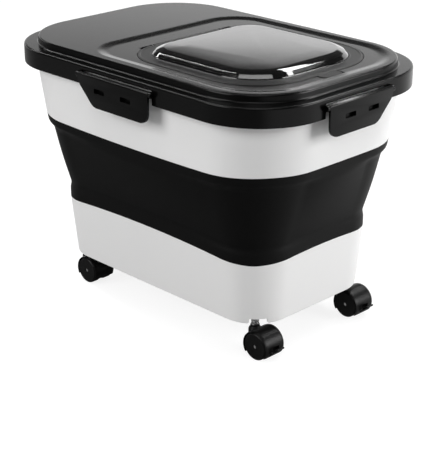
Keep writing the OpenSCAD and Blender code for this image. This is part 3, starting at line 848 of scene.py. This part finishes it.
def latch_flap(side):
    """A plate round a barrel, with two slots and a catch behind each."""
    width, pitch = latch_sizes(side)
    front = prism("front", flap_front(width, 1 if side in ("right", "back") else -1), 40)
    placed(front, Matrix.Rotation(math.radians(90), 4, "Z"))
    flap = prism("latch_flap_" + side, flap_section(), width + 4)
    bevelled(shaped(flap, [front], "INTERSECT"), EDGE_R, limit=60)
    places = (-pitch / 2, pitch / 2)
    joined(flap, *(catch(place) for place in places))
    cut(flap, *(slot_cutter(place) for place in places))
    placed(flap, at_side(side))
    return dressed(flap, BLACK, "latch_" + side, "black_plastic", "latch_" + side)


# ---- Casters ----

WHEEL_R = 16.0
HOOD_R = 18.0
TRAIL = 13.0
TWIN_WIDTH = 29.0
WEB = 4.0
WHEEL_WIDTH = (TWIN_WIDTH - WEB) / 2 - GAP
TREAD_GAP = 0.8
AXLE_R = 2.0
NECK_R = 5.3
NECK_Z = 34.9
HOOD_EDGE_Z = 8.0
STEM_R = 4.5
PEDAL_X = 31.5
PEDAL_Z = 12.0
PEDAL_WIDTH = 11.0
PEDAL_REACH = 10.5
PEDAL_RISE = 38.0
PEDAL_BARREL_R = 1.7
PEDAL_EAR = 1.8
PEDAL_SLOT_HALF = 5.1
SPOKES = 8
BRACKET_DROP = 2.0
STEM_FOOT_R = 3.0
STEM_FOOT_Z = 29.9


def on_axle(thing, x, y):
    """Turns a piece drawn round Z to lie round a caster's axle."""
    turn = Matrix.Rotation(math.radians(-90), 4, "X")
    return placed(thing, Matrix.Translation((x + TRAIL, y, WHEEL_R)) @ turn)


def turned(name, profile, closed, steps=64):
    """A body of revolution from (radius, height, edge radius) points."""
    return skin(name, softened([(circle(r, h, steps), soft) for r, h, soft in profile], closed), closed)


def caster_hood(place, x, y):
    """A fender over both wheels, the web between them, the stem's neck and any ears for a pedal."""
    half, well = TWIN_WIDTH / 2, WHEEL_R + TREAD_GAP
    edge_z = HOOD_EDGE_Z - (BRACKET_DROP if place.startswith("right") else 0)
    hood = turned("caster_hood_" + place, [
        (AXLE_R, -WEB / 2, 0.2), (well, -WEB / 2, 0.8), (well, -half, 0.3), (well + 0.6, -half, 0.3),
        (HOOD_R, -half + 2.5, 1.6), (HOOD_R, half - 2.5, 1.6), (well + 0.6, half, 0.3), (well, half, 0.3),
        (well, WEB / 2, 0.8), (AXLE_R, WEB / 2, 0.2)], True, 96)
    on_axle(hood, x, y)
    cut(hood, block("below", (x - 30, y - 20, -10), (x + 50, y + 20, edge_z)))
    neck = turned("neck", [(NECK_R + 2.2, 22, 0), (NECK_R + 2.2, 30.5, 2.0), (NECK_R, 33, 1.0),
                           (NECK_R, NECK_Z, 0.5), (1.5, NECK_Z, 0)], False, 48)
    solids = [placed(neck, Matrix.Translation((x, y, 0)))]
    cutters = [post("bore", x, y, STEM_FOOT_R, STEM_FOOT_Z, 36)]
    for side in (-1, 1):
        cutter = turned("well", [(well - 0.04, 0, 0), (well - 0.04, 20, 0)], False, 90)
        placed(cutter, Matrix.Translation((0, 0, side * (WEB / 2 + 10.04) - 10)))
        cutters.append(on_axle(cutter, x, y))
    if place.startswith("right"):
        pedal = Matrix.Translation((x + PEDAL_X, y, PEDAL_Z))
        half_slot = PEDAL_WIDTH / 2 + GAP
        bracket = rod("bracket", PEDAL_BARREL_R, 2 * (half_slot + PEDAL_EAR), 0.3, 32)
        solids.append(placed(bracket, pedal))
        slot_low = (-PEDAL_SLOT_HALF, -half_slot, -PEDAL_BARREL_R - 3)
        slot = block("pedal_slot", slot_low, (PEDAL_SLOT_HALF, half_slot, PEDAL_BARREL_R + 4))
        cutters += [placed(slot, pedal), placed(rod("bore", 0.8, TWIN_WIDTH + 6, 0, 24), pedal)]
    joined(hood, *solids)
    cut(hood, *cutters)
    return dressed(hood, NYLON, "caster_" + place, "caster_plastic", "hood_" + place)


def caster_stem(place, x, y):
    """The bright stem with its snap groove and shoulder, from the neck into the socket."""
    stem = turned("caster_stem_" + place, [
        (STEM_FOOT_R, STEM_FOOT_Z, 0), (STEM_FOOT_R, NECK_Z, 0), (STEM_R, NECK_Z, 0.3), (STEM_R, 37.0, 0.2),
        (3.4, 37.4, 0.2), (3.4, 38.8, 0.2), (STEM_R, 39.2, 0.2), (STEM_R, 40.8, 0.2), (3.4, 41.1, 0.2),
        (3.4, 42.3, 0.2), (STEM_R, 42.6, 0.2), (STEM_R, 70.6, 0.5), (STEM_R - 1.5, 72.1, 0)], False, 48)
    placed(stem, Matrix.Translation((x, y, 0)))
    return dressed(stem, STEEL, "caster_" + place, "steel", "stem_" + place)


def rib_ring():
    """Ribs round a hub: a small rib repeated at even turns about Z, joined with the wheel."""
    tree = bpy.data.node_groups.new("rib_ring", "GeometryNodeTree")
    made = {}
    for name, kind in (("Wheel", "Geometry"), ("Ribs", "Int"), ("Middle radius", "Float"),
                       ("Rib size", "Vector"), ("Face height", "Float"), ("Finish", "Material")):
        made[name] = tree.interface.new_socket(name, in_out="INPUT", socket_type="NodeSocket" + kind)
    tree.interface.new_socket("Wheel", in_out="OUTPUT", socket_type="NodeSocketGeometry")
    add, link = tree.nodes.new, tree.links.new
    given, result = add("NodeGroupInput"), add("NodeGroupOutput")
    points = add("GeometryNodeMeshCircle")
    rib, place = add("GeometryNodeMeshCube"), add("GeometryNodeInstanceOnPoints")
    index, turn, spread = add("GeometryNodeInputIndex"), add("ShaderNodeMath"), add("ShaderNodeMath")
    angle, lift = add("ShaderNodeCombineXYZ"), add("ShaderNodeCombineXYZ")
    raised, real = add("GeometryNodeTransform"), add("GeometryNodeRealizeInstances")
    both, finish = add("GeometryNodeJoinGeometry"), add("GeometryNodeSetMaterial")
    turn.operation, turn.inputs[0].default_value = "DIVIDE", 2 * math.pi
    spread.operation = "MULTIPLY"
    link(given.outputs["Ribs"], points.inputs["Vertices"])
    link(given.outputs["Middle radius"], points.inputs["Radius"])
    link(given.outputs["Rib size"], rib.inputs["Size"])
    link(given.outputs["Ribs"], turn.inputs[1])
    link(turn.outputs[0], spread.inputs[0])
    link(index.outputs[0], spread.inputs[1])
    link(spread.outputs[0], angle.inputs["Z"])
    link(points.outputs["Mesh"], place.inputs["Points"])
    link(rib.outputs["Mesh"], place.inputs["Instance"])
    link(angle.outputs[0], place.inputs["Rotation"])
    link(given.outputs["Face height"], lift.inputs["Z"])
    link(place.outputs["Instances"], raised.inputs["Geometry"])
    link(lift.outputs[0], raised.inputs["Translation"])
    link(raised.outputs[0], both.inputs[0])
    link(given.outputs["Wheel"], both.inputs[0])
    link(both.outputs[0], real.inputs[0])
    link(real.outputs[0], finish.inputs["Geometry"])
    link(given.outputs["Finish"], finish.inputs["Material"])
    link(finish.outputs[0], result.inputs[0])
    return tree, {name: socket.identifier for name, socket in made.items()}


RIB_TREE, RIB_SOCKET = rib_ring()


def caster_wheel(place, half_name, x, y):
    """A rounded tread, and a dished outer face with a hub cap and ribs."""
    side = -1 if half_name == "a" else 1
    half = WHEEL_WIDTH / 2
    wheel = turned(f"caster_wheel_{place}_{half_name}", [
        (AXLE_R + 0.08, -half, 0.2), (WHEEL_R - 1.4, -half, 0.5), (WHEEL_R, -half + 1.2, 0.8),
        (WHEEL_R, half - 2.2, 1.4), (WHEEL_R - 2.2, half, 0.8), (WHEEL_R - 3.6, half, 0.4),
        (WHEEL_R - 4.0, half - 1.2, 0.4), (5.4, half - 1.6, 0.4), (5.0, half - 0.2, 0.5),
        (AXLE_R + 0.5, half - 0.1, 0.3), (AXLE_R + 0.08, half - 0.4, 0.1)], True)
    ribs = wheel.modifiers.new("ribs", "NODES")
    ribs.node_group = RIB_TREE
    values = {"Ribs": SPOKES, "Middle radius": 8.5 * MM, "Rib size": (5.6 * MM, 1.1 * MM, 1.4 * MM),
              "Face height": (half - 1.3) * MM, "Finish": NYLON}
    for name, value in values.items():
        ribs[RIB_SOCKET[name]] = value
    settled(wheel)
    if side > 0:
        placed(wheel, Matrix.Rotation(math.pi, 4, "X"))
    on_axle(wheel, x, y + side * (WEB / 2 + GAP + half))
    body = f"wheel_{place}_{half_name}"
    return dressed(wheel, NYLON, body, "caster_plastic", body)


def brake_pedal(place, x, y):
    """A ribbed tread plate on its pin, and the cam that presses on the wheels."""
    thick = 2.2
    plate = [(0, -thick / 2)] + arc(PEDAL_REACH - 1.1, 0, 1.1, -90, 90, 6) + [(0, thick / 2)]
    pedal = prism("brake_pedal_" + place, plate, PEDAL_WIDTH - 2 * GAP, 0.3)
    grips = [block("grip", (reach, -4.2, thick / 2 - 0.3), (reach + 0.8, 4.2, thick / 2 + 0.25), 0.15)
             for reach in (4.6, 6.4, 8.2)]
    joined(pedal, *grips)
    placed(pedal, Matrix.Rotation(math.radians(-PEDAL_RISE), 4, "Y"))
    barrel = rod("barrel", PEDAL_BARREL_R, PEDAL_WIDTH, 0.2, 32)
    cam = prism("cam", [(0, -0.6), (2.7, -0.6), (2.7, 0.6), (0, 0.6)], PEDAL_WIDTH - 2 * GAP, 0.2)
    placed(cam, Matrix.Rotation(math.radians(-194.3), 4, "Y"))
    joined(pedal, barrel, cam)
    cut(pedal, rod("bore", 0.88, PEDAL_WIDTH + 2, 0, 24))
    placed(pedal, Matrix.Translation((x + PEDAL_X, y, PEDAL_Z)))
    return dressed(pedal, NYLON, "pedal_" + place, "caster_plastic", "pedal_" + place)


def casters():
    for place, x, y in caster_places():
        caster_hood(place, x, y)
        caster_stem(place, x, y)
        for half_name in ("a", "b"):
            caster_wheel(place, half_name, x, y)
        if place.startswith("right"):
            brake_pedal(place, x, y)


def carried_over():
    """Finishes of the solids that stay as they are."""
    finishes = {"lid_seal": SILICONE, "hatch_seal": SILICONE}
    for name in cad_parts:
        if "pin" in name or name.startswith("axle"):
            finishes[name] = STEEL
        elif name.startswith("socket"):
            finishes[name] = NYLON
    for name, material in finishes.items():
        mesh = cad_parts[name].data
        mesh.materials.clear()
        mesh.materials.append(material)


# ---- Camera, floor and light ----

AZIMUTH = math.radians(45.29)
ELEVATION = math.radians(22.57)
DISTANCE = 1587.92
TARGET = Vector((8.51, 0, 84.17))


def camera():
    data = bpy.data.cameras.new("camera")
    data.lens = 103.64
    data.sensor_width = 36
    data.clip_end = 20
    eye = bpy.data.objects.new("camera", data)
    bpy.context.scene.collection.objects.link(eye)
    level = math.cos(ELEVATION)
    away = Vector((math.sin(AZIMUTH) * level, -math.cos(AZIMUTH) * level, math.sin(ELEVATION)))
    eye.location = (TARGET + away * DISTANCE) * MM
    eye.rotation_euler = (-away).to_track_quat("-Z", "Y").to_euler()
    bpy.context.scene.camera = eye


def light_path(nodes, links, glossy):
    """How much of the white floor a ray sees: all for the camera and clear pieces, a share in gloss."""
    path = nodes.new("ShaderNodeLightPath")
    share, total = nodes.new("ShaderNodeMath"), nodes.new("ShaderNodeMath")
    share.operation = "MULTIPLY_ADD"
    links.new(path.outputs["Is Glossy Ray"], share.inputs[0])
    links.new(glossy, share.inputs[1])
    links.new(path.outputs["Is Transmission Ray"], share.inputs[2])
    total.operation, total.use_clamp = "ADD", True
    links.new(path.outputs["Is Camera Ray"], total.inputs[0])
    links.new(share.outputs[0], total.inputs[1])
    return total.outputs[0]


def studio_floor():
    """A wide pale floor, white where no shadow falls, brighter in gloss past the hatch's end."""
    floor = block("studio_floor", (-6000, -6000, -20), (6000, 6000, -0.05))
    finish = Finish("studio_floor", grey(0.22), 0.9, Specular_IOR_Level=0.0)
    finish.tint(finish.spread(finish.noise(0.8), 0, 1), grey(0.216), grey(0.224))
    across = finish.node("ShaderNodeVectorMath", operation="DOT_PRODUCT")
    across.inputs[1].default_value = (1, 1, 0)
    finish.link(finish.place, across.inputs[0])
    glossy = finish.spread(across.outputs["Value"], 0.03, 1.0, 0.10, 0.55)
    glow, both = finish.node("ShaderNodeEmission"), finish.node("ShaderNodeAddShader")
    strength = finish.node("ShaderNodeMath", operation="MULTIPLY")
    strength.inputs[1].default_value = 0.84
    finish.link(light_path(finish.tree.nodes, finish.tree.links, glossy), strength.inputs[0])
    finish.link(strength.outputs[0], glow.inputs["Strength"])
    finish.link(finish.shader.outputs[0], both.inputs[0])
    finish.link(glow.outputs[0], both.inputs[1])
    finish.link(both.outputs[0], finish.tree.nodes["Material Output"].inputs["Surface"])
    floor.data.materials.append(finish.material)


def lamp(name, place, size, power, aim=(0, 0, 0.15)):
    data = bpy.data.lights.new(name, "AREA")
    data.shape = "RECTANGLE"
    data.size, data.size_y = size
    data.energy = power
    light = bpy.data.objects.new(name, data)
    light.location = place
    light.rotation_euler = (Vector(aim) - Vector(place)).to_track_quat("-Z", "Y").to_euler()
    bpy.context.scene.collection.objects.link(light)


def studio_world():
    """Dim all round, bright and low behind the bin, white behind everything."""
    world = bpy.data.worlds.new("studio")
    bpy.context.scene.world = world
    world.use_nodes = True
    nodes, links = world.node_tree.nodes, world.node_tree.links

    def ramp(source, start, end, low, high):
        step = nodes.new("ShaderNodeMapRange")
        step.interpolation_type = "SMOOTHSTEP"
        for socket, value in zip(("From Min", "From Max", "To Min", "To Max"), (start, end, low, high)):
            step.inputs[socket].default_value = value
        links.new(source, step.inputs["Value"])
        return step.outputs["Result"]

    way = nodes.new("ShaderNodeTexCoord").outputs["Generated"]
    behind = nodes.new("ShaderNodeVectorMath")
    behind.operation, behind.inputs[1].default_value = "DOT_PRODUCT", (-0.707, 0.707, 0)
    links.new(way, behind.inputs[0])
    slanted = nodes.new("ShaderNodeVectorMath")
    slanted.operation, slanted.inputs[1].default_value = "DOT_PRODUCT", (-0.14, -0.113, 1)
    links.new(way, slanted.inputs[0])
    low_down = ramp(slanted.outputs["Value"], 0.235, 0.325, 1, 0)
    far_off = ramp(behind.outputs["Value"], 0.0, 0.6, 0, 1)
    band = nodes.new("ShaderNodeMath")
    band.operation = "MULTIPLY"
    links.new(low_down, band.inputs[0])
    links.new(far_off, band.inputs[1])
    room = nodes["Background"]
    room.inputs["Color"].default_value = (1, 1, 1, 1)
    links.new(ramp(band.outputs[0], 0.0, 1.0, 0.12, 1.75), room.inputs["Strength"])
    bright, mix = nodes.new("ShaderNodeBackground"), nodes.new("ShaderNodeMixShader")
    bright.inputs["Color"].default_value = (1, 1, 1, 1)
    links.new(nodes.new("ShaderNodeLightPath").outputs["Is Camera Ray"], mix.inputs["Fac"])
    links.new(room.outputs[0], mix.inputs[1])
    links.new(bright.outputs[0], mix.inputs[2])
    links.new(mix.outputs[0], nodes["World Output"].inputs["Surface"])


bpy.context.scene.view_settings.view_transform = "Standard"
camera()
studio_floor()
studio_world()
lamp("key", (2.0, 1.2, 0.8), (1.2, 1.2), 43)
lamp("fill", (-0.6, -2.0, 1.1), (1.5, 1.3), 31)
lamp("front", (1.1, -1.1, 1.3), (1.0, 0.6), 6)
lamp("edge_left", (-1.5, -0.1, 1.9), (0.3, 1.6), 26)
lamp("edge_back", (0.1, 1.5, 1.9), (1.6, 0.3), 26)
lamp("lens", (0.42, -0.38, 1.9), (1.50, 0.42), 11, (0.13, -0.08, 0.31))

white_base()
folding_band()
white_rim()
black_lid()
hatch_moulding()
smoky_window()
for name in SIDES:
    latch_flap(name)
casters()
carried_over()
